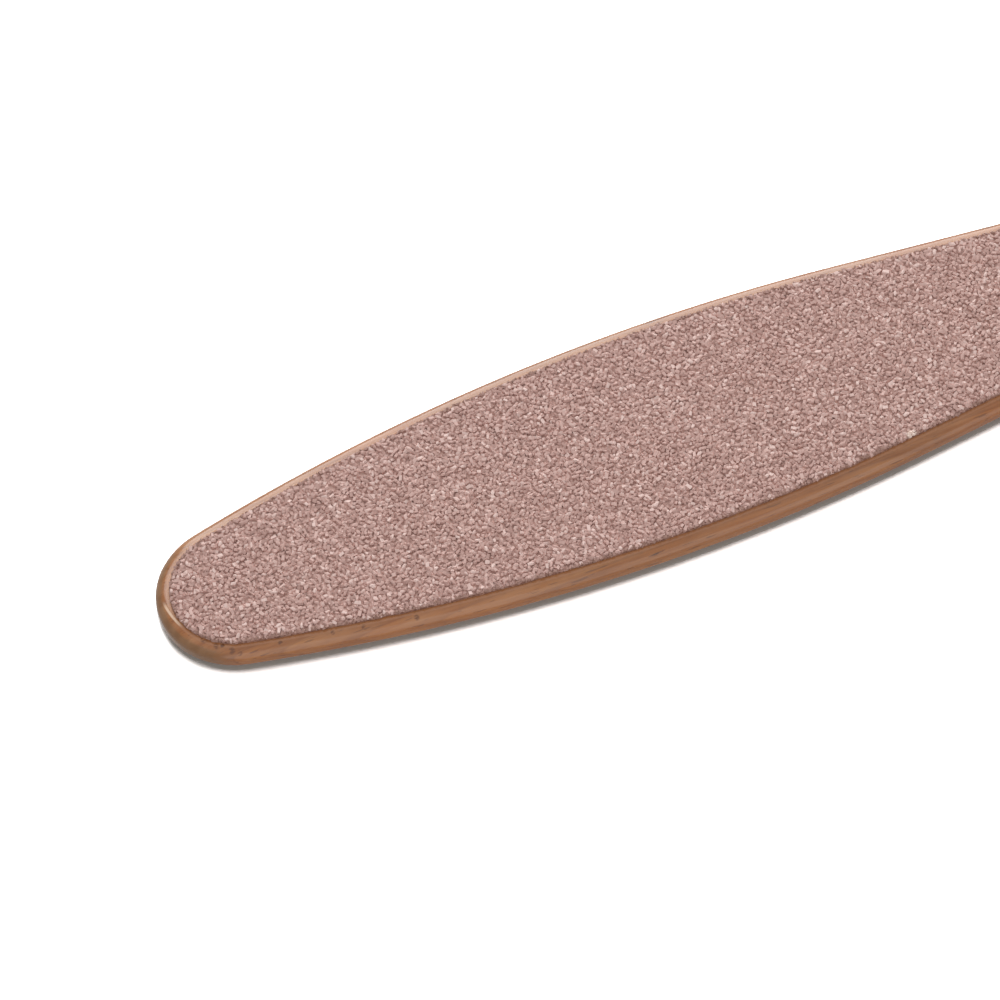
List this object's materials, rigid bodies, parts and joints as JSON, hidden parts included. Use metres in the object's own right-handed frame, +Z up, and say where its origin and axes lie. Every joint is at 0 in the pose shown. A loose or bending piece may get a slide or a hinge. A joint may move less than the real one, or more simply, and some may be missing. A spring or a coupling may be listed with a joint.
{
  "type": "foot file",
  "caption": "Flat wooden paddle with a coarse and a fine abrasive sheet glued to its opposite faces, and a bare handle with a hanging hole.",
  "frame": {"origin": "middle of the file's length and width, on the surface that its fine side lies on", "axes": "+X from the rounded tip of the head towards the handle, +Z up, out of the coarse face"},
  "size_m": [0.27, 0.042, 0.0061],
  "materials": {
    "stained_wood": "brown stain under satin lacquer",
    "contact_glue": "dried contact glue",
    "backing_paper": "brown latex paper",
    "resin": "satin cured resin",
    "coarse_grains": "coarse pinkish brown abrasive grains",
    "fine_grains": "fine pinkish brown abrasive grains"
  },
  "bodies": {
    "root": {"wooden_blank": "stained_wood", "coarse_glue_film": "contact_glue", "coarse_backing_sheet": "backing_paper", "coarse_resin_coat": "resin", "coarse_grit_layer": "coarse_grains", "fine_glue_film": "contact_glue", "fine_backing_sheet": "backing_paper", "fine_resin_coat": "resin", "fine_grit_layer": "fine_grains"}
  },
  "joints": []
}
